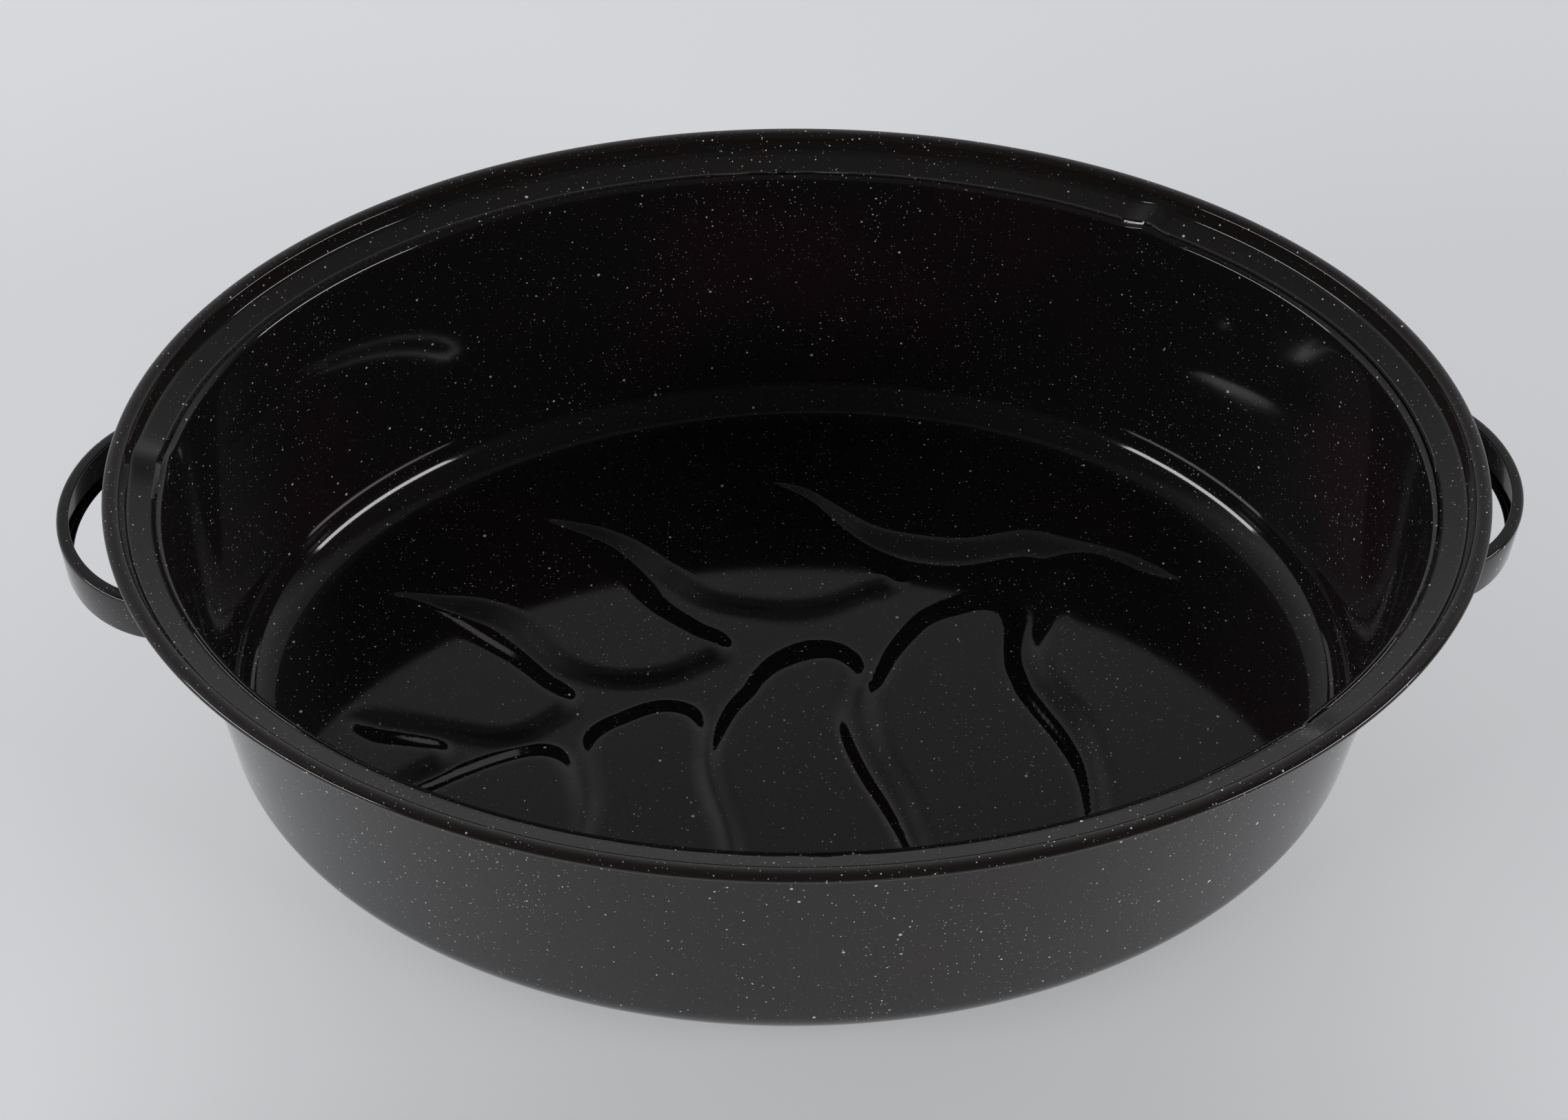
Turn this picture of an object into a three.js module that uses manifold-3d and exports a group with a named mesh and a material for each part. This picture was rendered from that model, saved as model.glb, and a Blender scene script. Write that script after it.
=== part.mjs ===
// Oval enamelled roasting pan with a tree of juice channels in its floor and a strap handle at each end.
// Millimetres, +Z up. X runs along the long axis, and the origin lies under the middle of the pan,
// on the surface that it stands on.

import * as THREE from 'three';
import { mergeVertices } from 'three/addons/utils/BufferGeometryUtils.js';
import Module from 'manifold-3d';

const wasm = await Module();
wasm.setup();

// ---- driving dimensions -------------------------------------------------------------------------

const RIM_LENGTH = 464;
const RIM_WIDTH = 346;
const PAN_HEIGHT = 125.7;
const SHEET = 0.8;

const BEAD_WIDTH = 5.6;
const BEAD_HEIGHT = 3.4;
const LEDGE_DROP = 10.7;
const LEDGE_OUTER_INSET = 8.6;
const LEDGE_INNER_INSET = 17.8;

// The walls lean in more at the pan's ends than along its sides.
const BASE_INSET = 26.2;
const SIDE_BASE_INSET = 18.8;
const BASE_FILLET = 17.8;

const CHANNEL_DEPTH = 2.7;
const CHANNEL_SLOPE_RUN = 6;
const CHANNEL_TIP_HALF_WIDTH = 0.8;

const HANDLE_REACH = 250;
const HANDLE_LOOP_CENTRE = 208.5;
const HANDLE_LOOP_HALF_WIDTH = 45;
const HANDLE_TOP = 108.7;
const HANDLE_STRAP_HEIGHT = 18;
const HANDLE_TOP_FLANGE = 4;
const HANDLE_BOTTOM_FLANGE = 2.8;
const HANDLE_FOOT_INSET = 18;
const HANDLE_FOOT_ANGLES = [27.5, 24.5, 21.5, 18.5];

const WELD_RADIUS = 2.6;
const WELD_THICKNESS = 0.5;
const WELD_STAND_OFF = 0.42;
const WELD_ANGLES = [25.5, 22];

// ---- mesh resolution ----------------------------------------------------------------------------

const RIM_SEGMENTS = 80;
const FILLET_STEPS = 4;
const BEAD_STEPS = 10;
const CHANNEL_STEPS = 16;
const HANDLE_STEPS = 64;

// ---- helpers ------------------------------------------------------------------------------------

const HALF_LENGTH = RIM_LENGTH / 2;
const HALF_WIDTH = RIM_WIDTH / 2;
const FLOOR_UNDERSIDE = CHANNEL_DEPTH;
const FLOOR_TOP = CHANNEL_DEPTH + SHEET;

function solidFrom(geometry) {
  const bare = geometry.clone();
  bare.deleteAttribute('normal');
  bare.deleteAttribute('uv');
  const merged = mergeVertices(bare, 1e-4);
  const mesh = new wasm.Mesh({
    numProp: 3,
    vertProperties: Float32Array.from(merged.attributes.position.array),
    triVerts: Uint32Array.from(merged.index.array),
  });
  mesh.merge();
  return new wasm.Manifold(mesh);
}

function geometryFrom(solid) {
  const mesh = solid.getMesh();
  const geometry = new THREE.BufferGeometry();
  geometry.setAttribute('position', new THREE.BufferAttribute(mesh.vertProperties, 3));
  geometry.setIndex(new THREE.BufferAttribute(mesh.triVerts, 1));
  geometry.computeVertexNormals();
  return geometry;
}

function enamelMaterial(color, roughness) {
  return new THREE.MeshStandardMaterial({ color, roughness, metalness: 0 });
}

// A point on the oval that lies a given distance inside the rim's outline.
function ovalPoint(inset, degrees) {
  const angle = THREE.MathUtils.degToRad(degrees);
  return new THREE.Vector2((HALF_LENGTH - inset) * Math.cos(angle), (HALF_WIDTH - inset) * Math.sin(angle));
}

// ---- pan shell ----------------------------------------------------------------------------------

// Points of a quarter turn in the profile plane: inset across, height up, angles in degrees.
function profileArc(inset, height, radius, fromDegrees, toDegrees) {
  const points = [];
  for (let step = 0; step <= FILLET_STEPS; step += 1) {
    const degrees = THREE.MathUtils.lerp(fromDegrees, toDegrees, step / FILLET_STEPS);
    const angle = THREE.MathUtils.degToRad(degrees);
    points.push([inset + radius * Math.cos(angle), height + radius * Math.sin(angle)]);
  }
  return points;
}

// The rolled bead, from where the sheet's outside meets its foot, over its top, to its inner side.
function beadProfile() {
  const points = [];
  for (let step = 0; step <= BEAD_STEPS; step += 1) {
    const angle = THREE.MathUtils.degToRad(-50 - (290 * step) / BEAD_STEPS);
    const inset = BEAD_WIDTH / 2 + (BEAD_WIDTH / 2) * Math.cos(angle);
    const height = PAN_HEIGHT - BEAD_HEIGHT / 2 + (BEAD_HEIGHT / 2) * Math.sin(angle);
    points.push([inset, height]);
  }
  return points;
}

// Closed section of the sheet, from the middle of the underside, out and up to the bead, and back
// down the inside to the middle of the floor. Each point is [inset from the rim's outline, height].
function shellProfile() {
  const ledgeTop = PAN_HEIGHT - LEDGE_DROP;
  const filletInset = BASE_INSET + BASE_FILLET;
  const filletHeight = FLOOR_UNDERSIDE + BASE_FILLET;
  return [
    [HALF_LENGTH, FLOOR_UNDERSIDE],
    ...profileArc(filletInset, filletHeight, BASE_FILLET, -90, -180),
    [LEDGE_INNER_INSET + 0.4, ledgeTop - 3],
    [LEDGE_INNER_INSET - 0.9, ledgeTop - SHEET],
    [LEDGE_OUTER_INSET - 1.2, ledgeTop - SHEET],
    ...beadProfile(),
    [LEDGE_OUTER_INSET - 0.4, ledgeTop + 0.8],
    [LEDGE_OUTER_INSET + 0.8, ledgeTop],
    [LEDGE_INNER_INSET - 0.6, ledgeTop],
    [LEDGE_INNER_INSET + 0.8, ledgeTop - 0.8],
    [LEDGE_INNER_INSET + 1.4, ledgeTop - 3],
    ...profileArc(filletInset, filletHeight, BASE_FILLET - SHEET, -180, -90),
    [HALF_LENGTH, FLOOR_TOP],
  ];
}

// How much less the sheet is set in along the pan's sides than at its ends, at a given inset of the ends.
function sideRelief(inset) {
  const share = (inset - LEDGE_INNER_INSET) / (BASE_INSET - LEDGE_INNER_INSET);
  return (BASE_INSET - SIDE_BASE_INSET) * THREE.MathUtils.clamp(share, 0, 1);
}

// The profile turned about Z and then narrowed across the pan. The rim keeps the same inset all round,
// and the flat floor shrinks evenly towards its middle.
function ovalShell() {
  const profile = shellProfile().map(([inset, height]) => new THREE.Vector2(HALF_LENGTH - inset, height));
  const geometry = new THREE.LatheGeometry(profile, RIM_SEGMENTS);
  geometry.rotateX(Math.PI / 2);
  const floorRadius = HALF_LENGTH - BASE_INSET - BASE_FILLET;
  const position = geometry.attributes.position;
  for (let i = 0; i < position.count; i += 1) {
    const radius = Math.hypot(position.getX(i), position.getY(i));
    const referenceRadius = Math.max(radius, floorRadius);
    const narrowing = HALF_LENGTH - HALF_WIDTH - sideRelief(HALF_LENGTH - referenceRadius);
    position.setY(i, position.getY(i) * (1 - narrowing / referenceRadius));
  }
  return solidFrom(geometry);
}

// The floor's channels: a trunk along the pan, with side branches that curve away from it to both
// sides. Each is a centre line from its root to its tip, with half the width of its flat bottom.
const CHANNELS = [
  { halfWidth: 6.5, line: [[-88, -16], [-70, -8], [-54, -3], [-41, 0], [-27, 8], [-13, 21], [4, 26], [24, 30], [43, 40], [61, 51]] },
  { halfWidth: 5, line: [[61, 51], [80, 54], [98, 61], [113, 64], [127, 59], [141, 52], [155, 45]] },
  { halfWidth: 3.2, line: [[-78, -14], [-90, -21], [-103, -25], [-119, -23], [-132, -20], [-146, -17], [-158, -14]] },
  { halfWidth: 2.4, line: [[-90, -23], [-105, -29], [-119, -33], [-131, -39], [-141, -46], [-149, -55]] },
  { halfWidth: 4, line: [[-70, -2], [-83, 4], [-93, 14], [-103, 25], [-117, 34], [-131, 40], [-146, 44]] },
  { halfWidth: 5, line: [[4, 26], [-13, 27], [-31, 34], [-44, 44], [-54, 57], [-67, 70], [-82, 79], [-98, 84]] },
  { halfWidth: 5, line: [[94, 59], [78, 57], [59, 58], [41, 64], [28, 73], [17, 85], [3, 96], [-13, 104], [-28, 109]] },
  { halfWidth: 3.2, line: [[-80, -14], [-79, -34], [-77, -51], [-78, -66], [-80, -84]] },
  { halfWidth: 2.8, line: [[-27, 8], [-30, -12], [-33, -26], [-33, -38], [-30, -51], [-26, -69], [-25, -83], [-26, -93]] },
  { halfWidth: 4.4, line: [[29, 32], [26, 9], [23, -7], [24, -21], [28, -38], [35, -57], [41, -75], [44, -91]] },
  { halfWidth: 3.4, line: [[96, 59], [89, 29], [87, 15], [90, 1], [96, -14], [103, -29], [106, -46], [105, -62], [102, -78], [99, -88]] },
];

// Half the width of a channel's flat bottom, which narrows at both of its ends.
function bottomHalfWidth(halfWidth, along) {
  const swell = Math.sqrt(Math.sin(Math.PI * THREE.MathUtils.clamp(along, 0, 1)));
  return CHANNEL_TIP_HALF_WIDTH + (halfWidth - CHANNEL_TIP_HALF_WIDTH) * swell;
}

function channelOutline({ halfWidth, line }) {
  const centre = new THREE.CatmullRomCurve3(line.map(([x, y]) => new THREE.Vector3(x, y, 0)));
  const nearSide = [];
  const farSide = [];
  for (let step = 0; step <= CHANNEL_STEPS; step += 1) {
    const along = step / CHANNEL_STEPS;
    const point = centre.getPointAt(along);
    const tangent = centre.getTangentAt(along);
    const reach = bottomHalfWidth(halfWidth, along);
    nearSide.push(new THREE.Vector2(point.x + tangent.y * reach, point.y - tangent.x * reach));
    farSide.unshift(new THREE.Vector2(point.x - tangent.y * reach, point.y + tangent.x * reach));
  }
  return new THREE.Shape([...nearSide, ...farSide]);
}

// One channel as a solid, from its flat bottom at height zero up its sloping sides.
function channelSolid(channel) {
  const geometry = new THREE.ExtrudeGeometry(channelOutline(channel), {
    depth: SHEET / 2,
    bevelEnabled: true,
    bevelThickness: CHANNEL_DEPTH,
    bevelSize: CHANNEL_SLOPE_RUN,
    bevelSegments: 1,
  });
  geometry.translate(0, 0, CHANNEL_DEPTH);
  return solidFrom(geometry);
}

function panShell() {
  const channels = CHANNELS.map(channelSolid).reduce((joined, channel) => joined.add(channel));
  const hollow = channels.translate([0, 0, SHEET]);
  const solid = ovalShell().add(channels).subtract(hollow);
  const mesh = new THREE.Mesh(geometryFrom(solid), enamelMaterial(0x141315, 0.12));
  mesh.name = 'pan_shell';
  return mesh;
}

// ---- handles ------------------------------------------------------------------------------------

function loopPoint(degrees) {
  const angle = THREE.MathUtils.degToRad(degrees);
  const reach = HANDLE_REACH - HANDLE_LOOP_CENTRE;
  return new THREE.Vector3(HANDLE_LOOP_CENTRE + reach * Math.cos(angle), HANDLE_LOOP_HALF_WIDTH * Math.sin(angle), 0);
}

function footPoint(degrees) {
  const point = ovalPoint(HANDLE_FOOT_INSET - SHEET / 2, degrees);
  return new THREE.Vector3(point.x, point.y, 0);
}

// The strap's centre line: along the wall, out round the loop and back along the wall.
function strapPath() {
  const feet = HANDLE_FOOT_ANGLES.map(footPoint);
  const loop = [82, 60, 40, 20, 0, -20, -40, -60, -82].map(loopPoint);
  const mirroredFeet = HANDLE_FOOT_ANGLES.map((degrees) => footPoint(-degrees)).reverse();
  return new THREE.CatmullRomCurve3([...feet, ...loop, ...mirroredFeet]);
}

function loopPath() {
  return new THREE.CatmullRomCurve3([80, 60, 40, 20, 0, -20, -40, -60, -80].map(loopPoint));
}

// A bar with a rectangular section swept along a level path. Outward is away from the pan.
function sweptBar(path, lowest, highest, inward, outward) {
  const section = new THREE.Shape();
  section.moveTo(-highest, -inward);
  section.lineTo(-lowest, -inward);
  section.lineTo(-lowest, outward);
  section.lineTo(-highest, outward);
  section.closePath();
  return solidFrom(new THREE.ExtrudeGeometry(section, { steps: HANDLE_STEPS, extrudePath: path }));
}

function handle(name, turn) {
  const bottom = HANDLE_TOP - HANDLE_STRAP_HEIGHT;
  const half = SHEET / 2;
  const strap = sweptBar(strapPath(), bottom, HANDLE_TOP, half, half);
  const topFlange = sweptBar(loopPath(), HANDLE_TOP - SHEET, HANDLE_TOP, HANDLE_TOP_FLANGE - half, 0);
  const bottomFlange = sweptBar(loopPath(), bottom, bottom + SHEET, HANDLE_BOTTOM_FLANGE - half, 0);
  const solid = strap.add(topFlange).add(bottomFlange);
  const mesh = new THREE.Mesh(geometryFrom(solid), enamelMaterial(0x161517, 0.15));
  mesh.name = name;
  mesh.rotation.z = turn;
  return mesh;
}

// ---- spot welds ---------------------------------------------------------------------------------

// A nugget between a handle's foot and the wall, with its axis square to the wall.
function spotWeld(name, degrees, turn) {
  const middle = ovalPoint(HANDLE_FOOT_INSET + WELD_STAND_OFF, degrees);
  const ahead = ovalPoint(HANDLE_FOOT_INSET, degrees + 0.5);
  const behind = ovalPoint(HANDLE_FOOT_INSET, degrees - 0.5);
  const heading = ahead.sub(behind).angle();
  const geometry = new THREE.CylinderGeometry(WELD_RADIUS, WELD_RADIUS, WELD_THICKNESS, 16);
  const mesh = new THREE.Mesh(geometry, enamelMaterial(0x1a191b, 0.4));
  mesh.name = name;
  mesh.rotation.z = heading;
  mesh.position.set(middle.x, middle.y, HANDLE_TOP - HANDLE_STRAP_HEIGHT / 2);
  const side = new THREE.Group();
  side.rotation.z = turn;
  side.add(mesh);
  return side;
}

// ---- assembly -----------------------------------------------------------------------------------

const pan = new THREE.Group();
pan.add(panShell());

for (const [side, turn] of [['right', 0], ['left', Math.PI]]) {
  pan.add(handle(`handle_${side}`, turn));
  for (const [index, degrees] of WELD_ANGLES.entries()) {
    pan.add(spotWeld(`weld_${side}_a${index + 1}`, degrees, turn));
    pan.add(spotWeld(`weld_${side}_b${index + 1}`, -degrees, turn));
  }
}

export default pan;
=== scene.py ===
import math

import bpy
import numpy as np
from mathutils import Matrix, Vector
from mathutils.kdtree import KDTree


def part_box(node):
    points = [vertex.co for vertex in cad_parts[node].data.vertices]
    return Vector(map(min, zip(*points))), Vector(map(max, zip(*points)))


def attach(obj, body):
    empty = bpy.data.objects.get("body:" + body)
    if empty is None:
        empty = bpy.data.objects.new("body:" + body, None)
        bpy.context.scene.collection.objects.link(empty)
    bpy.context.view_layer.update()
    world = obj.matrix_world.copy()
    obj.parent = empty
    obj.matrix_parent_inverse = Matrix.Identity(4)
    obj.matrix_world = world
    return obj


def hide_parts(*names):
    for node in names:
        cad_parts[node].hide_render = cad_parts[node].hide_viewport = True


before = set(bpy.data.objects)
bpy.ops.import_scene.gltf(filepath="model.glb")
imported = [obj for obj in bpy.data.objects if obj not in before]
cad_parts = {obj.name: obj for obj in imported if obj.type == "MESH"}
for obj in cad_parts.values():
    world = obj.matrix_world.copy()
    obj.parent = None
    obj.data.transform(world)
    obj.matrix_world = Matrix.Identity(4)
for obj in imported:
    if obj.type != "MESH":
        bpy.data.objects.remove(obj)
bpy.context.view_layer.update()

MM = 0.001

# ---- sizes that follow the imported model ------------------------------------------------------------

SHELL_LOW, SHELL_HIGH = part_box("pan_shell")
HALF_LENGTH = (SHELL_HIGH[0] - SHELL_LOW[0]) / 2
HALF_WIDTH = (SHELL_HIGH[1] - SHELL_LOW[1]) / 2
RIM_TOP = SHELL_HIGH[2]
HANDLE_LOW, HANDLE_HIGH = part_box("handle_right")

# ---- sizes of the pan ------------------------------------------------------------------------------

SHEET = 0.8 * MM
CHANNEL_DEPTH = 2.7 * MM
FLOOR_UNDERSIDE = CHANNEL_DEPTH
FLOOR_TOP = FLOOR_UNDERSIDE + SHEET

# Drops are measured down from the bead's top, and insets in from its outer side.
BEAD_WIDTH = 5.6 * MM
BEAD_HEIGHT = 3.4 * MM

# The ledge slopes down inward, from a short drop beside the bead to the top of the wall.
LEDGE_OUTER = 7.2 * MM
LEDGE_OUTER_DROP = 6.9 * MM
LEDGE_INNER = 17.8 * MM
LEDGE_DROP = 10.7 * MM
LEDGE_TOP = RIM_TOP - LEDGE_DROP
LEDGE_EDGE_LIP = 0.7 * MM
LEDGE_FOOT_BEND = 1.1 * MM
LEDGE_EDGE_BEND = 2.9 * MM
UNDER_LEDGE_SHIFT = 1.0 * MM
UNDER_LEDGE_BEND = 1.4 * MM

WALL_TOP_INSET = 18.0 * MM
WALL_TOP = LEDGE_TOP - 3 * MM
BASE_INSET = 26.2 * MM
SIDE_BASE_INSET = 18.8 * MM
BASE_FILLET = 17.8 * MM
FILLET_INSET = BASE_INSET + BASE_FILLET
FILLET_HEIGHT = FLOOR_UNDERSIDE + BASE_FILLET

# How far in the far wall's foot is, and how far it is skewed: in at the left and out at the right.
FAR_LEAN = 1.6 * MM
FAR_SKEW = 6.5 * MM

AROUND = 400
FLOOR_RINGS = 84
UNDERSIDE_RINGS = 44

# ---- small mesh and curve helpers ------------------------------------------------------------------

CURVE_STEPS = 24


def smoothstep(t):
    t = np.clip(t, 0.0, 1.0)
    return t * t * (3 - 2 * t)


def smooth_curve(points, count):
    """count points on a centripetal Catmull-Rom curve through points, evenly spaced along it."""
    points = np.asarray(points, float)
    first = 2 * points[0] - points[1]
    last = 2 * points[-1] - points[-2]
    padded = np.vstack([first, points, last])
    dense = []
    for i in range(1, len(padded) - 2):
        p0, p1, p2, p3 = padded[i - 1 : i + 3]
        t1 = np.sqrt(np.linalg.norm(p1 - p0))
        t2 = t1 + np.sqrt(np.linalg.norm(p2 - p1))
        t3 = t2 + np.sqrt(np.linalg.norm(p3 - p2))
        t = np.linspace(t1, t2, CURVE_STEPS, endpoint=False)[:, None]
        a1 = (t1 - t) / t1 * p0 + t / t1 * p1
        a2 = (t2 - t) / (t2 - t1) * p1 + (t - t1) / (t2 - t1) * p2
        a3 = (t3 - t) / (t3 - t2) * p2 + (t - t2) / (t3 - t2) * p3
        b1 = (t2 - t) / t2 * a1 + t / t2 * a2
        b2 = (t3 - t) / (t3 - t1) * a2 + (t - t1) / (t3 - t1) * a3
        dense.append((t2 - t) / (t2 - t1) * b1 + (t - t1) / (t2 - t1) * b2)
    dense = np.vstack([*dense, points[-1:]])
    return evenly_spaced(dense, count)


def distance_along(line):
    steps = np.linalg.norm(np.diff(line, axis=0), axis=1)
    return np.concatenate([[0.0], np.cumsum(steps)])


def evenly_spaced(line, count):
    along = distance_along(line)
    wanted = np.linspace(0, along[-1], count)
    return np.stack([np.interp(wanted, along, line[:, k]) for k in range(line.shape[1])], axis=1)


def arc(centre_inset, centre_height, radius, start, stop, count):
    angles = np.radians(np.linspace(start, stop, count))
    inset = centre_inset + radius * np.cos(angles)
    height = centre_height + radius * np.sin(angles)
    return np.stack([inset, height], axis=1)


def rounded_corner(before, corner, after, radius, count=5):
    """Points that round a corner of a section with a smooth bend of about that radius."""
    before, corner, after = (np.asarray(p, float) for p in (before, corner, after))
    to_before = (before - corner) / np.linalg.norm(before - corner)
    to_after = (after - corner) / np.linalg.norm(after - corner)
    start = corner + to_before * radius
    end = corner + to_after * radius
    t = np.linspace(0, 1, count)[:, None]
    return (1 - t) ** 2 * start + 2 * t * (1 - t) * corner + t**2 * end


def mesh_object(name, vertices, faces, smooth=True):
    mesh = bpy.data.meshes.new(name)
    mesh.from_pydata([tuple(v) for v in vertices], [], [tuple(f) for f in faces])
    mesh.update()
    obj = bpy.data.objects.new(name, mesh)
    bpy.context.scene.collection.objects.link(obj)
    if smooth:
        mesh.shade_smooth()
    return obj


def ring_faces(first_ring, second_ring):
    """Quads between two closed rings of vertex numbers."""
    a, b = np.asarray(first_ring), np.asarray(second_ring)
    return np.stack([a, np.roll(a, -1), np.roll(b, -1), b], axis=1)


# ---- the pan's channels ----------------------------------------------------------------------------

# The channels are one tree-shaped hollow. Its outline is where the raised parts of the floor end, in
# millimetres from the middle of the pan. It is drawn as stretches, anticlockwise seen from above, with
# the hollow on the left: along one side of each branch, round its tip and back along the other.
OUTLINE = {
    "left_branch_near": [
        (-171, -8), (-169, -13), (-164, -17.5), (-158, -20.3), (-150, -21.4), (-142, -22.3),
    ],
    "left_fork": [
        (-136, -23.8), (-140, -26.6), (-146, -29.8), (-151, -34), (-155, -39.5), (-159, -46),
    ],
    "low_branch_tip": [
        (-160.5, -52), (-157.5, -55.5), (-150, -52), (-141, -46.5),
    ],
    "low_branch_near": [
        (-132, -41.2), (-124.3, -36.9), (-115.5, -32.8), (-108, -29.8), (-101.8, -27.9), (-96, -27.2),
    ],
    "front_1_left": [
        (-92.5, -28.2), (-90, -32), (-88, -39), (-86.5, -47), (-86, -56), (-86, -66), (-86.5, -76),
    ],
    "front_1_tip": [
        (-86, -84), (-82.5, -85.5), (-79, -81),
    ],
    "front_1_right": [
        (-76, -72), (-73, -63), (-70.5, -54), (-69, -45), (-69.5, -37), (-70.8, -29), (-72, -22),
    ],
    "lobe_1_top": [
        (-71.5, -18.3), (-68, -15), (-63, -12.5), (-56.8, -9.4), (-51.8, -7.6), (-46.8, -7.4),
    ],
    "lobe_1_corner": [
        (-42.5, -9), (-40.5, -13),
    ],
    "front_2_left": [
        (-40.3, -20), (-40.8, -28), (-40, -36), (-38, -45), (-35, -54), (-32.5, -63), (-31, -73),
    ],
    "front_2_tip": [
        (-30.5, -82), (-29, -90), (-24.5, -93), (-20.5, -89),
    ],
    "front_2_right": [
        (-18, -80), (-17, -70), (-18, -60), (-20, -51), (-22.3, -43), (-24.5, -35), (-25.8, -27.5),
    ],
    "lobe_2_left": [
        (-24.9, -20), (-22.4, -13), (-18.6, -5.6), (-13, 1.3), (-9, 7), (-4.3, 11.2), (0, 13.3),
    ],
    "lobe_2_top": [
        (5, 15.2), (11, 16.8), (16, 16.6), (19, 14), (18.5, 9),
    ],
    "front_3_left": [
        (16, 3), (14, -4), (13.5, -12), (15, -20.5), (17.5, -28.5), (21.8, -39), (26.8, -49), (31, -58.5),
    ],
    "front_3_tip": [
        (34.5, -68), (38, -78), (41.5, -87), (46.5, -92), (51, -90), (52.5, -82), (52, -72),
    ],
    "front_3_right": [
        (50.5, -62), (48.5, -54), (46.5, -46), (43.5, -37.5), (40, -29.5), (36.8, -21.5), (35, -13),
    ],
    "lobe_3_left": [
        (34.3, -5), (34.5, 2), (36.9, 6.6), (40, 12.8), (42.8, 18.5), (46.3, 24), (50.8, 29.8),
    ],
    "lobe_3_top": [
        (55, 34.2), (60, 37), (67.5, 39.6), (73, 41.5), (77.5, 42), (81, 40.5), (82, 36),
    ],
    "front_4_left": [
        (81.3, 30), (80.4, 22), (80.5, 15), (81.8, 8.5), (84, 1), (88.6, -8), (93.6, -16.6), (98, -25.3),
    ],
    "front_4_tip": [
        (101, -33), (102.3, -40), (102.8, -48), (102.5, -56), (101.5, -66), (100.5, -75), (101, -83),
    ],
    "front_4_right": [
        (105, -86), (109, -83), (112.5, -74), (115.5, -63), (117.5, -52), (118, -41), (117.8, -30),
    ],
    "lobe_4_left": [
        (116.5, -19.5), (114.3, -10.5), (110.8, -3), (106, 4), (102, 11), (100, 19.5), (101, 27),
    ],
    "lobe_4_top": [
        (103.3, 34), (106, 41), (109, 49), (112.5, 55.5), (116.5, 58.8), (121.5, 59.6), (127.5, 58),
    ],
    "right_branch_near": [
        (133.8, 54.8), (141, 52), (150, 49.5), (160, 47.3), (167.5, 46), (169.5, 48),
    ],
    "right_branch_far": [
        (165, 52.5), (157, 58.5), (147, 65.5), (137, 72.5), (127, 78.5), (116, 83), (104, 85.5),
    ],
    "back_3_far": [
        (93, 85.3), (85, 82.8), (78, 80.5), (70, 79), (60, 79.4), (50, 80.8), (40, 83.2), (33.8, 86),
    ],
    "back_3_tip": [
        (27.5, 90.8), (20, 97.2), (13, 103), (6, 107), (-5, 110), (-20, 113.4), (-33, 117.5), (-37, 117),
    ],
    "back_3_near": [
        (-36, 113.5), (-24, 109), (-10, 105), (-1, 100.5), (6, 94.5), (11.5, 87.5), (17, 80), (23, 73),
    ],
    "tongue_3": [
        (29, 67), (34, 62.5), (36.5, 59.5), (34, 58.3), (28.8, 56.8), (22.5, 53.9), (17, 51.4), (10, 49.2),
    ],
    "back_2_far": [
        (0, 47.9), (-10.5, 48.5), (-20, 50), (-30, 53), (-36.5, 57), (-41.5, 61.5), (-47, 66), (-53, 72),
    ],
    "back_2_tip": [
        (-60.5, 78), (-68, 82.5), (-75.5, 85.8), (-86.8, 89), (-98, 92.2), (-106.5, 95), (-109.5, 93.5),
    ],
    "back_2_near": [
        (-108.5, 89.5), (-101, 84.5), (-91, 80), (-82, 75.5), (-75, 70.5), (-69.5, 63.5), (-65, 56),
    ],
    "tongue_2": [
        (-61, 49.2), (-55.5, 42.6), (-50.5, 38.2), (-44.5, 33.8), (-38, 29.2), (-33, 26.8), (-31.5, 25.5),
    ],
    "back_1_far": [
        (-34, 24), (-39, 21.5), (-45.5, 18), (-53, 15.6), (-62, 14.6), (-70.5, 15.4), (-78, 17.5),
    ],
    "back_1_bend": [
        (-85.5, 21.3), (-91.8, 27), (-96.8, 32.8), (-102, 38.8), (-108, 43.2), (-115.5, 47), (-124, 49.5),
    ],
    "back_1_tip": [
        (-135.5, 51), (-147, 53), (-155, 53.5), (-159, 51), (-157.5, 47), (-148, 43.5), (-139, 39),
    ],
    "back_1_near": [
        (-131, 33.5), (-123, 27.5), (-115.5, 22), (-109, 17), (-103, 11.4), (-97, 5.6), (-92, 1.8),
    ],
    "tongue_1": [
        (-90, -0.5), (-92.5, -2.8), (-97, -6), (-102.5, -9.8), (-110, -11.8), (-118, -11), (-128, -8.8),
    ],
    "left_branch_far": [
        (-140, -5.8), (-152, -3), (-162, -1.8), (-168.5, -4),
    ],
}
OUTLINE_STEPS = 4000

# The outline was drawn on an earlier estimate of where the floor lies. These move it to the present one.
OUTLINE_SCALE = (0.968, 1.0075)
OUTLINE_TURN = -0.7
OUTLINE_SHIFT = (-0.3 * MM, -6.3 * MM)

# How far a channel's flank reaches in from the outline, and where it is gentler: x, y, the radius of the
# gentler place, and how much further the flank reaches there, all in millimetres.
FLANK = 9.5 * MM
GENTLE_FLANKS = [
    (5, 14, 16, 6),
    (61, 68, 24, 3.5),
    (-76, -58, 26, 3.5),
    (-30, -54, 22, 1.5),
    (-145, 43, 18, 2),
    (-96, 85, 18, 1),
    (112, 74, 24, 14),
    (155, 43, 20, 6),
    (-158, -18, 16, 5),
    (-150, -54, 16, 5),
]


def channel_outline():
    points = [point for stretch in OUTLINE.values() for point in stretch]
    points = np.array(points[-2:] + points + points[:2]) * MM
    turn = math.radians(OUTLINE_TURN)
    sine, cosine = math.sin(turn), math.cos(turn)
    turned = points @ np.array([(cosine, sine), (-sine, cosine)])
    return smooth_curve(turned * OUTLINE_SCALE + OUTLINE_SHIFT, OUTLINE_STEPS)


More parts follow.
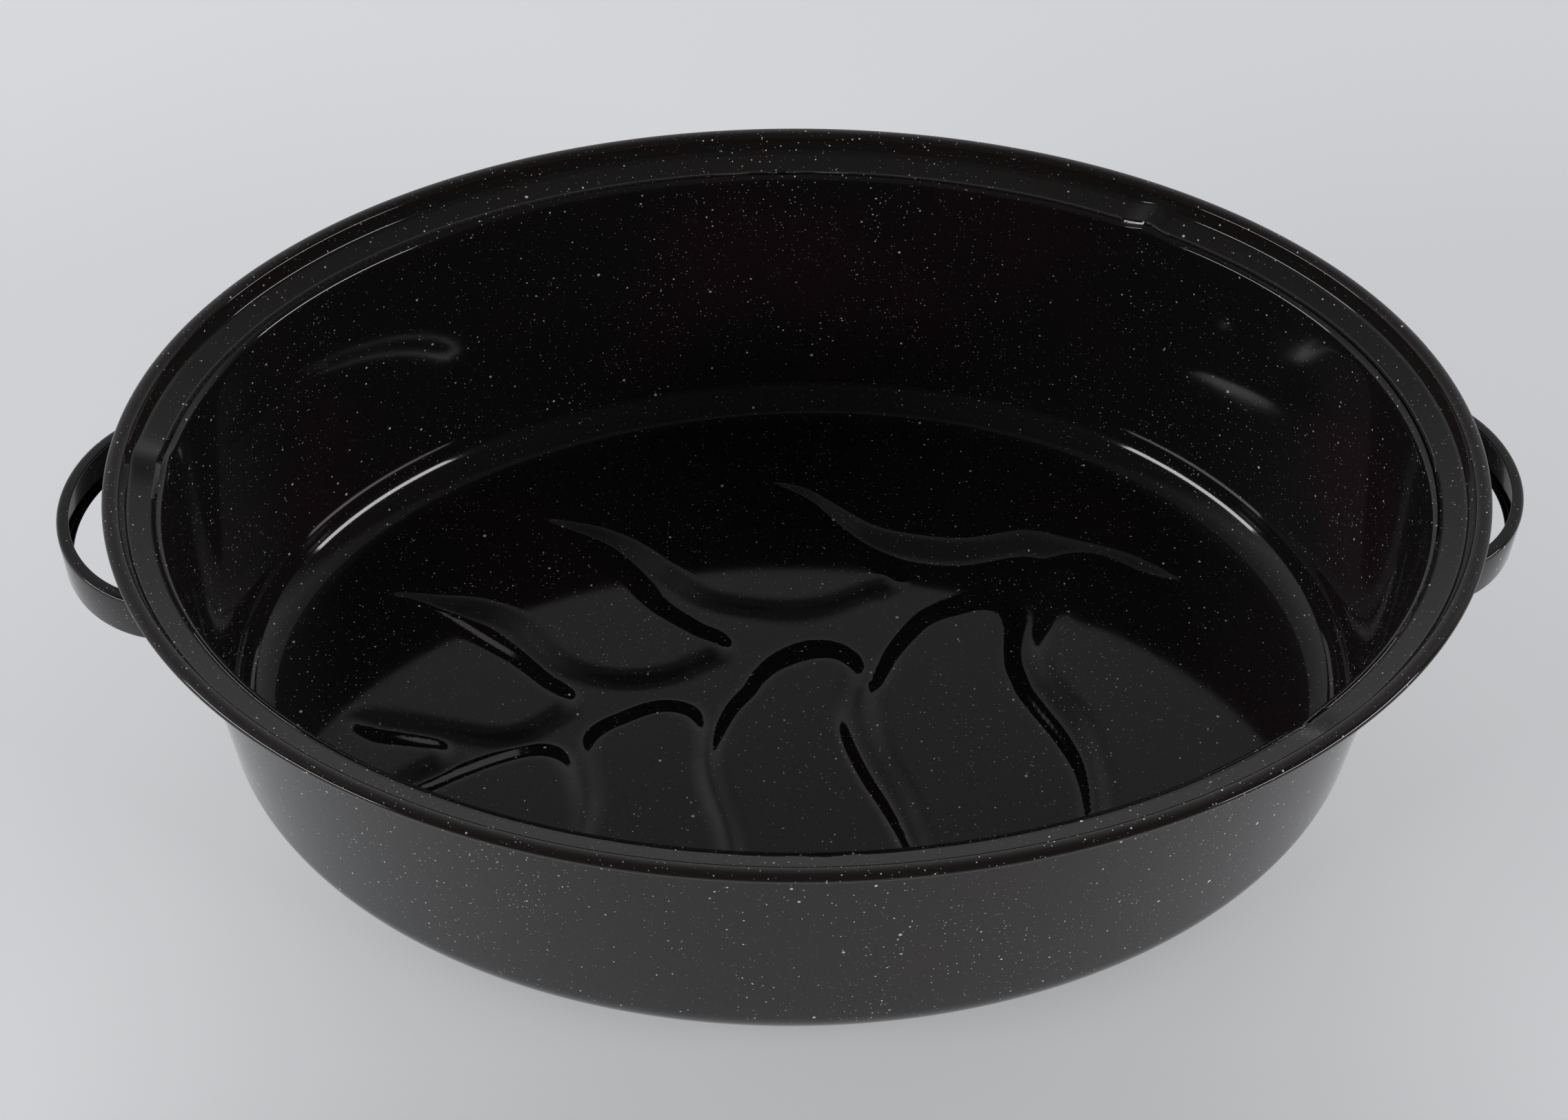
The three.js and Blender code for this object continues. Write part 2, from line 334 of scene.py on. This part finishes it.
def inside_outline(outline, x, y):
    """Which points lie inside a closed outline, by counting the edges to their right."""
    inside = np.zeros(x.shape, bool)
    coarse = outline[::4]
    for (x1, y1), (x2, y2) in zip(coarse, np.roll(coarse, -1, axis=0)):
        if y1 == y2:
            continue
        crosses = (y1 > y) != (y2 > y)
        inside ^= crosses & (x < (x2 - x1) * (y - y1) / (y2 - y1) + x1)
    return inside


def channel_depth(x, y):
    """How deep the pressed channels are at each point of the floor, from 0 to 1."""
    outline = channel_outline()
    tree = KDTree(len(outline))
    for number, (px, py) in enumerate(outline):
        tree.insert((px, py, 0), number)
    tree.balance()
    away = [tree.find((px, py, 0))[2] for px, py in zip(x.ravel(), y.ravel())]
    away = np.array(away).reshape(x.shape)
    reach = np.full(x.shape, FLANK)
    for centre_x, centre_y, radius, extra in GENTLE_FLANKS:
        squared = (x - centre_x * MM) ** 2 + (y - centre_y * MM) ** 2
        reach += extra * MM * np.exp(-squared / (radius * MM) ** 2)
    return np.where(inside_outline(outline, x, y), smoothstep(away / reach), 0.0)


# ---- the pan's sheet -------------------------------------------------------------------------------


def bead_roll():
    """The rolled bead, from its underside, round its outer side and over its top to its inner side."""
    angles = np.radians(np.linspace(-60, -355, 26))
    inset = BEAD_WIDTH / 2 * (1 + np.cos(angles))
    height = RIM_TOP - BEAD_HEIGHT / 2 * (1 - np.sin(angles))
    return np.stack([inset, height], axis=1)


def outer_section():
    """The sheet's outside, from the floor's edge, up the wall, under the ledge and round the bead."""
    fillet = arc(FILLET_INSET, FILLET_HEIGHT, BASE_FILLET, -90, -180, 14)
    wall_top = (WALL_TOP_INSET, LEDGE_TOP - SHEET)
    slope_foot = (LEDGE_OUTER - UNDER_LEDGE_SHIFT, RIM_TOP - LEDGE_OUTER_DROP - SHEET)
    bead_side = (BEAD_WIDTH * 0.9, RIM_TOP - BEAD_HEIGHT * 0.7)
    wall = np.linspace(fillet[-1], (WALL_TOP_INSET, WALL_TOP), 12)[1:-1]
    turn = rounded_corner(wall[-1], wall_top, slope_foot, UNDER_LEDGE_BEND)
    foot = rounded_corner(wall_top, slope_foot, bead_side, UNDER_LEDGE_BEND)
    return np.vstack([fillet, wall, turn, foot, bead_roll()])


def inner_section():
    """The sheet's inside, from the bead's inner side, down to the ledge, the wall and the floor's edge."""
    bead_side = (BEAD_WIDTH, RIM_TOP - BEAD_HEIGHT * 0.62)
    slope_foot = (LEDGE_OUTER, RIM_TOP - LEDGE_OUTER_DROP)
    edge = (LEDGE_INNER + LEDGE_EDGE_LIP, LEDGE_TOP)
    fillet = arc(FILLET_INSET, FILLET_HEIGHT, BASE_FILLET - SHEET, -180, -90, 16)
    wall = np.linspace((WALL_TOP_INSET + SHEET, WALL_TOP), fillet[0], 22)[1:-1]
    slope = np.linspace(bead_side, slope_foot, 5)[:-1]
    foot = rounded_corner(slope[-1], slope_foot, edge, LEDGE_FOOT_BEND, 6)
    ledge = np.linspace(foot[-1], edge, 6)[1:-1]
    turn = rounded_corner(ledge[-1], edge, wall[0], LEDGE_EDGE_BEND, 9)
    return np.vstack([slope, foot, ledge, turn, wall, fillet])


# Small faults of the pressing: angle round the rim in degrees, its spread, how far the ledge rises.
LEDGE_FAULTS = [
    (176.7, 2.2, 1.9 * MM),
    (-44.4, 1.3, -1.6 * MM),
    (51.8, 1.5, 2.0 * MM),
]


def ledge_fault(degrees):
    rise = np.zeros_like(degrees)
    for centre, spread, height in LEDGE_FAULTS:
        away = (degrees - centre + 180) % 360 - 180
        rise += height * np.exp(-((away / spread) ** 2))
    return rise


def share_on_ledge(inset, height):
    """1 on the ledge, fading to 0 at the bead and part way down the wall."""
    past_bead = smoothstep((inset - 5.0 * MM) / (3 * MM))
    above_wall = smoothstep((height - (RIM_TOP - 22 * MM)) / (9 * MM))
    return past_bead * above_wall


def side_relief(inset, angles):
    """How much less the sheet is set in along the sides than at the ends, far wall's lean included."""
    share = np.clip((inset - LEDGE_INNER) / (BASE_INSET - LEDGE_INNER), 0, 1)
    far = np.maximum(np.sin(angles), 0) * (FAR_LEAN - FAR_SKEW * np.cos(angles))
    return (BASE_INSET - SIDE_BASE_INSET - far) * share


def oval_rings(section, degrees):
    """Vertices of one closed ring for each point of a section: [section point, angle, xyz]."""
    angles = np.radians(degrees)
    inset, height = section[:, :1], section[:, 1:]
    x = (HALF_LENGTH - inset) * np.cos(angles)
    y = (HALF_WIDTH - inset + side_relief(inset, angles)) * np.sin(angles)
    z = height + share_on_ledge(inset, height) * ledge_fault(degrees)
    return np.stack([x, y, z], axis=2)


def floor_rings(count, height, degrees):
    """Evenly shrinking rings from the floor's edge towards its middle, sunk by the channels."""
    angles = np.radians(degrees)
    edge_x = HALF_LENGTH - BASE_INSET - BASE_FILLET
    edge_y = HALF_WIDTH - BASE_INSET - BASE_FILLET + side_relief(FILLET_INSET, angles)
    shares = np.linspace(1, 0, count + 1)[1:-1, None]
    x = edge_x * shares * np.cos(angles)
    y = edge_y * shares * np.sin(angles)
    z = height - CHANNEL_DEPTH * channel_depth(x, y)
    return np.stack([x, y, z], axis=2)


def build_pan():
    """One closed skin: out along the floor's underside, up, over the bead, down and back to the middle."""
    degrees = np.linspace(0, 360, AROUND, endpoint=False)
    outside = oval_rings(outer_section(), degrees)
    inside = oval_rings(inner_section(), degrees)
    under = floor_rings(UNDERSIDE_RINGS, FLOOR_UNDERSIDE, degrees)[::-1]
    upper = floor_rings(FLOOR_RINGS, FLOOR_TOP, degrees)
    rings = np.concatenate([under, outside, inside, upper])
    middle_sink = channel_depth(np.zeros(1), np.zeros(1))[0] * CHANNEL_DEPTH
    middles = [(0, 0, FLOOR_UNDERSIDE - middle_sink), (0, 0, FLOOR_TOP - middle_sink)]
    vertices = np.vstack([rings.reshape(-1, 3), middles])
    low, high = len(vertices) - 2, len(vertices) - 1
    numbers = np.arange(low).reshape(len(rings), AROUND)
    first, last = numbers[0], numbers[-1]
    quads = [q[::-1] for a, b in zip(numbers[:-1], numbers[1:]) for q in ring_faces(a, b)]
    fan_low = [(a, b, low) for a, b in zip(first, np.roll(first, -1))]
    fan_high = [(b, a, high) for a, b in zip(last, np.roll(last, -1))]
    return mesh_object("pan_enamel", vertices, quads + fan_low + fan_high)


# ---- handles ---------------------------------------------------------------------------------------

STRAP = 0.8 * MM
HANDLE_BOTTOM, HANDLE_TOP = HANDLE_LOW[2], HANDLE_HIGH[2]
HANDLE_REACH = HANDLE_HIGH[0] - STRAP / 2
LOOP_CENTRE = 208.5 * MM
LOOP_END_ANGLE = 83
FOOT_INSET = 18.0 * MM
FOOT_ANGLES = (27.5, 18.6)  # round the pan, from a foot's end to where its loop leaves the wall
TOP_FLANGE = 4.2 * MM
BOTTOM_FLANGE = 2.9 * MM
FLANGE_LIP_BEND = 0.42 * MM
HANDLE_SECTIONS = 220
SMOOTHING_PASSES = 14

# The feet are flat. The flanges start this far from a foot's end, and take this far to grow.
FLANGE_START = 25 * MM
FLANGE_GROWTH = 12 * MM
FOOT_CORNER = 4 * MM
HALF_STRAP_HEIGHT = 9 * MM

# Each handle's turn, reach, half the width of its loop, and how far the loop sits off its middle.
HANDLES = {
    "right": (0.0, HANDLE_REACH - 1.8 * MM, 44 * MM, 1.5 * MM),
    "left": (math.pi, HANDLE_REACH, 46 * MM, 2 * MM),
}


def handle_line(reach, half_width, shift):
    """Centre line of a handle to the right, from its back foot round the loop to its front foot."""
    foot_x = HALF_LENGTH - FOOT_INSET + STRAP / 2
    foot_y = HALF_WIDTH - FOOT_INSET + STRAP / 2
    foot = np.radians(np.linspace(*FOOT_ANGLES, 12))
    loop = np.radians(np.linspace(LOOP_END_ANGLE, -LOOP_END_ANGLE, 60))
    loop_x = LOOP_CENTRE + (reach - LOOP_CENTRE) * np.cos(loop)
    loop_y = shift + half_width * np.sin(loop)
    back = np.stack([foot_x * np.cos(foot), foot_y * np.sin(foot)], axis=1)
    front = back[::-1] * (1, -1)
    line = evenly_spaced(np.vstack([back, np.stack([loop_x, loop_y], axis=1), front]), HANDLE_SECTIONS)
    for _ in range(SMOOTHING_PASSES):
        line[1:-1] = (line[:-2] + 2 * line[1:-1] + line[2:]) / 4
    return line


def channel_section(flange, height_share):
    """Closed section of the rolled strap: [outward, up]. Its flanges reach towards the pan."""
    half = (HANDLE_TOP - HANDLE_BOTTOM) / 2 * height_share
    t = STRAP / 2
    top_reach = -t - (TOP_FLANGE - STRAP) * flange
    low_reach = -t - (BOTTOM_FLANGE - STRAP) * flange
    outer_bend = (0.35 + 1.25 * flange) * MM
    inner_bend = (0.1 + 0.7 * flange) * MM
    inner_lip_bend = FLANGE_LIP_BEND * (0.3 + 0.7 * flange)
    inner_top = half - STRAP * flange - 0.02 * MM
    inner_lip = inner_top - 0.85 * MM * (1 - flange) - 0.05 * MM
    inner_side = inner_top - 1.0 * MM * (1 - flange)
    corners = [
        ((t, half), outer_bend),
        ((top_reach, half), FLANGE_LIP_BEND),
        ((top_reach, inner_lip), inner_lip_bend),
        ((-t, inner_side), inner_bend),
        ((-t, -inner_side), inner_bend),
        ((low_reach, -inner_lip), inner_lip_bend),
        ((low_reach, -half), FLANGE_LIP_BEND),
        ((t, -half), outer_bend),
    ]
    points = []
    for i, (corner, radius) in enumerate(corners):
        before, after = corners[i - 1][0], corners[(i + 1) % len(corners)][0]
        room = 0.45 * min(math.dist(before, corner), math.dist(after, corner))
        points.append(rounded_corner(before, corner, after, min(radius, room)))
    return np.vstack(points)


def foot_height_share(distance):
    """The strap's share of its full height, which falls at a foot's end, where its corners are round."""
    short = max(0.0, FOOT_CORNER - distance)
    return 1 - (FOOT_CORNER - math.sqrt(FOOT_CORNER**2 - short**2)) / HALF_STRAP_HEIGHT


def build_handle(name, turn, reach, half_width, shift):
    line = handle_line(reach, half_width, shift)
    tangent = np.gradient(line, axis=0)
    tangent /= np.linalg.norm(tangent, axis=1)[:, None]
    outward = np.stack([-tangent[:, 1], tangent[:, 0]], axis=1)
    along = distance_along(line)
    from_end = np.minimum(along, along[-1] - along)
    middle_height = (HANDLE_TOP + HANDLE_BOTTOM) / 2
    rings = []
    for point, away, distance in zip(line, outward, from_end):
        flange = float(smoothstep((distance - FLANGE_START) / FLANGE_GROWTH))
        section = channel_section(flange, foot_height_share(distance))
        rings.append([(*(point + away * out), middle_height + up) for out, up in section])
    rings = np.array(rings)
    vertices = rings.reshape(-1, 3)
    numbers = np.arange(len(vertices)).reshape(rings.shape[:2])
    faces = [q for a, b in zip(numbers[:-1], numbers[1:]) for q in ring_faces(a, b)]
    faces.append(numbers[0][::-1])
    faces.append(numbers[-1])
    obj = mesh_object(name, vertices, faces)
    obj.data.transform(Matrix.Rotation(turn, 4, "Z"))
    return obj


# ---- materials -------------------------------------------------------------------------------------

BLACK = (0.0125, 0.0117, 0.0122, 1)
WARM_BLACK = (0.020, 0.0105, 0.013, 1)
RIM_GREY = (0.019, 0.0175, 0.0175, 1)
RIM_BROWN = (0.0205, 0.0155, 0.0145, 1)
CREAM = (0.94, 0.93, 0.91, 1)
RUST = (0.16, 0.06, 0.018, 1)
PAPER = (0.725, 0.735, 0.752, 1)

# Each size of fleck: the cell of its pattern, its usual radius, the share of cells that hold one, and
# how ragged its edge is.
FLECKS = {
    "large": (8.5 * MM, 0.58 * MM, 0.8, 0.3),
    "medium": (3.4 * MM, 0.34 * MM, 0.8, 0.3),
    "small": (1.8 * MM, 0.22 * MM, 0.8, 0),
    "dust": (1.1 * MM, 0.13 * MM, 0.35, 0),
}
RUST_SPOTS = (46 * MM, 0.9 * MM, 0.12, 0.6)

# Small dents of the wall: place in millimetres, radius in millimetres, and how far they push the enamel,
# as a share of DENT_DEPTH.
DENT_DEPTH = 0.4 * MM
DENTS = [
    ((-120.6, 124.7, 31.7), 6.0, 1.0),
    ((-108.0, 128.0, 22.0), 5.0, -0.8),
    ((167.0, 94.0, 94.0), 15.0, 0.8),
]


class Nodes:
    """Short names for building a material's nodes."""

    def __init__(self, name):
        self.material = bpy.data.materials.new(name)
        self.material.use_nodes = True
        self.tree = self.material.node_tree
        self.tree.nodes.clear()
        self.place = self.add("ShaderNodeTexCoord").outputs["Object"]

    def add(self, kind, **settings):
        node = self.tree.nodes.new(kind)
        for key, value in settings.items():
            setattr(node, key, value)
        return node

    def feed(self, socket, value):
        if isinstance(value, bpy.types.NodeSocket):
            self.tree.links.new(value, socket)
        else:
            socket.default_value = value

    def math(self, operation, a, b=0.0, c=0.0):
        node = self.add("ShaderNodeMath", operation=operation)
        for socket, value in zip(node.inputs, (a, b, c)):
            self.feed(socket, value)
        return node.outputs[0]

    def noise(self, scale, detail):
        node = self.add("ShaderNodeTexNoise")
        self.feed(node.inputs["Vector"], self.place)
        self.feed(node.inputs["Scale"], scale)
        self.feed(node.inputs["Detail"], detail)
        self.feed(node.inputs["Roughness"], 0.5)
        return node.outputs["Fac"]

    def between(self, value, low, high):
        """value mapped so that low becomes 0 and high becomes 1, smoothly and clamped."""
        node = self.add("ShaderNodeMapRange", interpolation_type="SMOOTHSTEP")
        self.feed(node.inputs["Value"], value)
        self.feed(node.inputs["From Min"], low)
        self.feed(node.inputs["From Max"], high)
        return node.outputs["Result"]

    def mix(self, share, first, second):
        node = self.add("ShaderNodeMix", data_type="RGBA")
        self.feed(node.inputs[0], share)
        self.feed(node.inputs[6], first)
        self.feed(node.inputs[7], second)
        return node.outputs[2]

    def split(self):
        """The sockets of the place's x, y and z."""
        node = self.add("ShaderNodeSeparateXYZ")
        self.feed(node.inputs[0], self.place)
        return node.outputs

    def specks(self, cell, radius, share, ragged):
        """Round-ish flecks: one in each cell of a 3-D pattern, in that share of the cells."""
        voronoi = self.add("ShaderNodeTexVoronoi", feature="F1")
        self.feed(voronoi.inputs["Vector"], self.place)
        self.feed(voronoi.inputs["Scale"], 1 / cell)
        self.feed(voronoi.inputs["Randomness"], 1.0)
        chance = self.add("ShaderNodeSeparateColor")
        self.feed(chance.inputs[0], voronoi.outputs["Color"])
        chosen = self.math("LESS_THAN", chance.outputs[0], share)
        in_cells = radius / cell
        size = self.math("MULTIPLY_ADD", chance.outputs[1], in_cells * 0.9, in_cells * 0.35)
        distance = voronoi.outputs["Distance"]
        if ragged > 0:
            roughened = self.noise(1 / radius, 2.0)
            distance = self.math("MULTIPLY_ADD", roughened, ragged * radius / cell, distance)
        inside = self.between(self.math("DIVIDE", distance, size), 1.15, 0.75)
        return self.math("MULTIPLY", inside, chosen)

    def finish(self, colour, roughness, height=None, glow=None):
        """The shader and its output. height pushes the surface by up to DENT_DEPTH."""
        shader = self.add("ShaderNodeBsdfPrincipled")
        if glow is not None:
            self.feed(shader.inputs["Emission Color"], colour)
            self.feed(shader.inputs["Emission Strength"], glow)
        self.feed(shader.inputs["Base Color"], colour)
        self.feed(shader.inputs["Roughness"], roughness)
        if height is not None:
            bump = self.add("ShaderNodeBump")
            self.feed(bump.inputs["Height"], height)
            self.feed(bump.inputs["Distance"], DENT_DEPTH)
            self.feed(shader.inputs["Normal"], bump.outputs["Normal"])
        output = self.add("ShaderNodeOutputMaterial")
        self.feed(output.inputs["Surface"], shader.outputs[0])
        return self.material


def dent_height(n):
    total = 0.0
    for place, radius, push in DENTS:
        distance = n.add("ShaderNodeVectorMath", operation="DISTANCE")
        n.feed(distance.inputs[0], n.place)
        n.feed(distance.inputs[1], [value * MM for value in place])
        hollow = n.between(distance.outputs["Value"], radius * MM, 0.0)
        total = n.math("MULTIPLY_ADD", hollow, push, total)
    return total


def fleck_cover(n, fleck_share):
    """Where the flecks are. The two finest sizes crowd together in some places and thin out in others."""
    sizes = FLECKS.values()
    cover = [n.specks(cell, radius, share * fleck_share, ragged) for cell, radius, share, ragged in sizes]
    large, medium, small, dust = cover
    crowd = n.between(n.noise(14, 3.0), 0.35, 0.7)
    thinned = n.math("MULTIPLY_ADD", crowd, 0.8, 0.2)
    fine = n.math("MULTIPLY", n.math("MAXIMUM", small, dust), thinned)
    return n.math("MAXIMUM", n.math("MAXIMUM", large, medium), fine)


def worn_rim(n, ground):
    """The ground colour, with a grey and brown streaked ledge and a browner bead."""
    up = n.split()[2]
    ledge = n.between(up, LEDGE_TOP - 1 * MM, LEDGE_TOP + 1 * MM)
    bead = n.between(up, RIM_TOP - 4.5 * MM, RIM_TOP - 2.5 * MM)
    streaks = n.between(n.noise(60, 4.0), 0.45, 0.65)
    ground = n.mix(ledge, ground, n.mix(streaks, RIM_GREY, RIM_BROWN))
    return n.mix(bead, ground, RIM_BROWN)


def enamel(name, fleck_share, roughness, is_pan):
    """Black porcelain enamel with cream flecks, rust dots and a warm cast. The pan's has wear and dents."""
    n = Nodes(name)
    cast = n.between(n.noise(9, 4.0), 0.5, 0.72)
    ground = n.mix(cast, BLACK, WARM_BLACK)
    if is_pan:
        ground = worn_rim(n, ground)
    colour = n.mix(fleck_cover(n, fleck_share), ground, CREAM)
    rust = n.specks(*RUST_SPOTS)
    colour = n.mix(rust, colour, RUST)
    rough = n.math("MULTIPLY_ADD", n.noise(120, 4.0), 0.05, roughness - 0.025)
    rough = n.math("MULTIPLY_ADD", rust, 0.4, rough)
    dents = dent_height(n) if is_pan else None
    return n.finish(colour, rough, height=dents)


# ---- stage, lights and camera ----------------------------------------------------------------------

# The floor glows a little, so that it stays pale under soft light; the glow itself is painted light. Its
# glow falls to the right and rises towards the back, painted light that fades across the floor, and dips
# close in front of the pan, a painted shadow there.
FLOOR_HALF_SIZE = 4
FLOOR_GLOW = 0.46
FLOOR_LEVEL, PAINTED_LIGHT_FALL_RIGHT, PAINTED_LIGHT_RISE_BACK, FLOOR_PAINTED_SHADOW = 1.03, -0.24, 0.26, 0.3
FLOOR_LOWEST, FLOOR_HIGHEST = 0.6, 1.3
PAINTED_SHADOW_DISTANCE, PAINTED_SHADOW_SQUARED_RADIUS = 0.3, 0.10

# A bright wall lies in this level direction, a little left of straight behind the pan. Its brightness
# is listed by how squarely a direction faces it, from 0 straight away to 1 straight at it, and by how
# steeply that direction rises, from 0 level to 1 straight up. The room around it is dim.
WORLD_BACK, WORLD_SIDE = 0.985, -0.174
WALL_BY_DIRECTION = [(0.0, 0.0), (0.42, 0.0), (0.62, 1.0), (1.0, 1.0)]
WALL_BY_HEIGHT = [(0.0, 0.55), (0.5, 0.5), (0.72, 0.34), (0.87, 0.18), (0.95, 0.06), (1.0, 0.04)]
ROOM_LEVEL = 0.045
ROOM_COLOUR = (0.985, 1.0, 1.035, 1)

SOFTBOX_SIDE, SOFTBOX_FRONT, SOFTBOX_HEIGHT = 1.85, -0.75, 0.85
SOFTBOX_SIZE = (1.3, 0.3)
SOFTBOX_WATTS = 13
SOFTBOX_AIM = (0, 0, 0.05)

CAMERA_PLACE = (-0.03796, -0.61645, 0.76292)
CAMERA_YAW, CAMERA_PITCH, CAMERA_ROLL = -0.0537, -0.8413, 0.0244
CAMERA_LENS = 60.66


def build_floor():
    size = FLOOR_HALF_SIZE
    corners = [(-size, -size, 0), (size, -size, 0), (size, size, 0), (-size, size, 0)]
    floor = mesh_object("studio_floor", corners, [(0, 1, 2, 3)], smooth=False)
    n = Nodes("studio_paper")
    across, along, _ = n.split()
    # Painted light: the glow is set to fall off to the right and rise towards the back.
    level = n.math("MULTIPLY_ADD", across, PAINTED_LIGHT_FALL_RIGHT, FLOOR_LEVEL)
    level = n.math("MULTIPLY_ADD", along, PAINTED_LIGHT_RISE_BACK, level)
    level = n.math("MAXIMUM", n.math("MINIMUM", level, FLOOR_HIGHEST), FLOOR_LOWEST)
    # Painted shadow: the glow is darkened in a round patch close in front of the pan.
    in_front = n.math("POWER", n.math("ADD", along, PAINTED_SHADOW_DISTANCE), 2.0)
    squared = n.math("MULTIPLY_ADD", across, across, in_front)
    near = n.between(squared, PAINTED_SHADOW_SQUARED_RADIUS, 0.0)
    level = n.math("SUBTRACT", level, n.math("MULTIPLY", near, FLOOR_PAINTED_SHADOW))
    glow = n.math("MULTIPLY", level, FLOOR_GLOW)
    floor.data.materials.append(n.finish(PAPER, 0.9, glow=glow))


def build_world():
    """A pale wall behind the pan, from left to right-behind, and a dim room in front and overhead."""
    world = bpy.data.worlds.new("studio")
    bpy.context.scene.world = world
    world.use_nodes = True
    tree = world.node_tree
    tree.nodes.clear()
    place = tree.nodes.new("ShaderNodeTexCoord")
    split = tree.nodes.new("ShaderNodeSeparateXYZ")
    tree.links.new(place.outputs["Generated"], split.inputs[0])

    def calculate(operation, first, second=0.0):
        node = tree.nodes.new("ShaderNodeMath")
        node.operation = operation
        for socket, value in zip(node.inputs, (first, second)):
            if isinstance(value, bpy.types.NodeSocket):
                tree.links.new(value, socket)
            else:
                socket.default_value = value
        return node.outputs[0]

    def ramp(value, stops):
        node = tree.nodes.new("ShaderNodeValToRGB")
        tree.links.new(value, node.inputs[0])
        elements = node.color_ramp.elements
        for element, (position, level) in zip(elements, (stops[0], stops[-1])):
            element.position = position
            element.color = (level, level, level, 1)
        for position, level in stops[1:-1]:
            elements.new(position).color = (level, level, level, 1)
        return node.outputs[0]

    aside = calculate("MULTIPLY", split.outputs["X"], WORLD_SIDE)
    behind = calculate("ADD", calculate("MULTIPLY", split.outputs["Y"], WORLD_BACK), aside)
    rise_squared = calculate("MULTIPLY", split.outputs["Z"], split.outputs["Z"])
    # A hair over 1, so that straight up never divides by zero.
    level_length = calculate("SQRT", calculate("SUBTRACT", 1.0001, rise_squared))
    facing = calculate("DIVIDE", behind, level_length)
    wall = ramp(calculate("ADD", calculate("MULTIPLY", facing, 0.5), 0.5), WALL_BY_DIRECTION)
    height = ramp(split.outputs["Z"], WALL_BY_HEIGHT)
    bright = calculate("MULTIPLY", wall, height)
    background = tree.nodes.new("ShaderNodeBackground")
    background.inputs["Color"].default_value = ROOM_COLOUR
    tree.links.new(calculate("ADD", bright, ROOM_LEVEL), background.inputs["Strength"])
    output = tree.nodes.new("ShaderNodeOutputWorld")
    tree.links.new(background.outputs[0], output.inputs["Surface"])


def softbox(name, place):
    data = bpy.data.lights.new(name, "AREA")
    data.shape = "RECTANGLE"
    data.size, data.size_y = SOFTBOX_SIZE
    data.energy = SOFTBOX_WATTS
    lamp = bpy.data.objects.new(name, data)
    bpy.context.scene.collection.objects.link(lamp)
    lamp.location = place
    direction = Vector(SOFTBOX_AIM) - Vector(place)
    lamp.rotation_euler = direction.to_track_quat("-Z", "Y").to_euler()


def build_lights():
    """One long, low softbox to each side, a little in front of the pan."""
    softbox("softbox_right", (SOFTBOX_SIDE, SOFTBOX_FRONT, SOFTBOX_HEIGHT))
    softbox("softbox_left", (-SOFTBOX_SIDE, SOFTBOX_FRONT, SOFTBOX_HEIGHT))


def build_camera():
    """Above and in front of the pan, looking down at it, a touch off its middle line."""
    data = bpy.data.cameras.new("camera")
    data.sensor_width = 36
    data.lens = CAMERA_LENS
    data.clip_start, data.clip_end = 0.01, 50
    camera = bpy.data.objects.new("camera", data)
    bpy.context.scene.collection.objects.link(camera)
    bpy.context.scene.camera = camera
    place = Matrix.Translation(CAMERA_PLACE)
    tilt = Matrix.Rotation(math.pi / 2 + CAMERA_PITCH, 4, "X")
    turn = Matrix.Rotation(CAMERA_YAW, 4, "Z") @ tilt
    camera.matrix_world = place @ turn @ Matrix.Rotation(CAMERA_ROLL, 4, "Z")


# ---- assembly --------------------------------------------------------------------------------------


def dress(obj, material):
    obj.data.materials.clear()
    obj.data.materials.append(material)


pan_material = enamel("speckled_enamel", fleck_share=1.0, roughness=0.07, is_pan=True)
handle_material = enamel("handle_enamel", fleck_share=0.6, roughness=0.1, is_pan=False)

pan = build_pan()
dress(pan, pan_material)
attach(pan, "root")
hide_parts("pan_shell")

for side, shape in HANDLES.items():
    handle = build_handle(f"{side}_handle_strap", *shape)
    dress(handle, handle_material)
    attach(handle, "root")
    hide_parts(f"handle_{side}")

for name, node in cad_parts.items():
    if name.startswith("weld_"):
        dress(node, handle_material)

build_floor()
build_world()
build_lights()
build_camera()

bpy.context.scene.view_settings.view_transform = "Standard"
